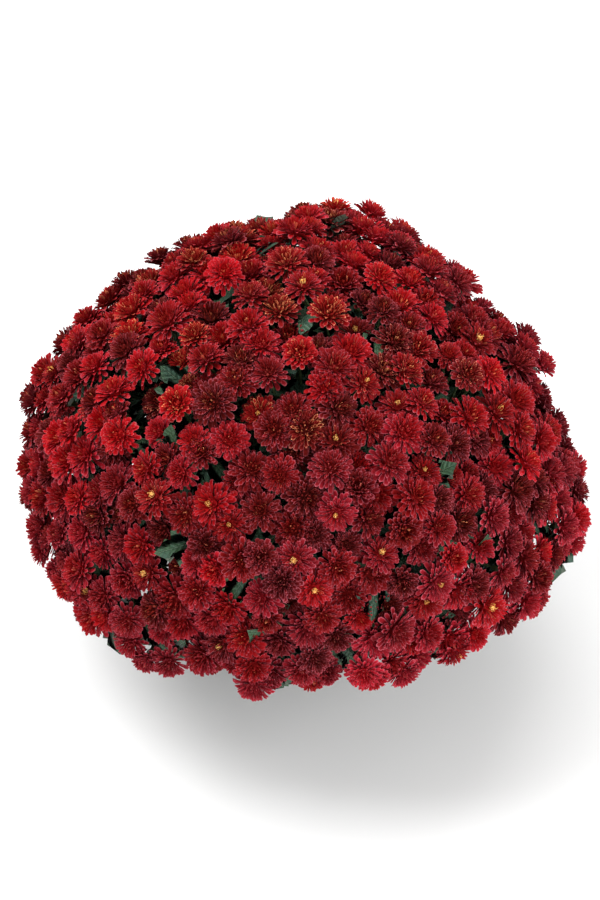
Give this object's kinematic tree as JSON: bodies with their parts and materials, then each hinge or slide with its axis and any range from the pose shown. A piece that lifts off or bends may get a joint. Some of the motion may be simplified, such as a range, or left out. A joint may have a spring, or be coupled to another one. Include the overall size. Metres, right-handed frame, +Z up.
{
  "type": "potted chrysanthemum",
  "caption": "Garden chrysanthemum in a plain round pot: a dome of dark red double blooms over leafy stems that rise from the potting mix.",
  "frame": {"origin": "middle of the pot's flat underside, where it stands on the floor", "axes": "+Z up through the middle of the pot and the dome; -Y towards the side that the picture shows"},
  "size_m": [0.4733, 0.4613, 0.3835],
  "materials": {
    "pot": "matt moulded",
    "soil": "rough, moist potting mix",
    "greenery": "matt, slightly hairy leaf",
    "petals": "soft satin petal"
  },
  "bodies": {
    "root": {"pot": "pot", "soil": "soil", "stem_01": "greenery", "stem_02": "greenery", "stem_03": "greenery", "stem_04": "greenery", "stem_05": "greenery", "stem_06": "greenery", "stem_07": "greenery", "stem_08": "greenery", "stem_09": "greenery", "stem_10": "greenery", "stem_11": "greenery", "stem_12": "greenery", "stem_13": "greenery", "stem_14": "greenery", "stem_15": "greenery", "stem_16": "greenery", "stem_17": "greenery", "blooms_01": "petals", "blooms_02": "petals", "blooms_03": "petals", "blooms_04": "petals", "blooms_05": "petals", "blooms_06": "petals", "blooms_07": "petals", "blooms_08": "petals", "blooms_09": "petals", "blooms_10": "petals", "blooms_11": "petals", "blooms_12": "petals", "blooms_13": "petals", "blooms_14": "petals", "blooms_15": "petals", "blooms_16": "petals", "blooms_17": "petals"}
  },
  "joints": []
}
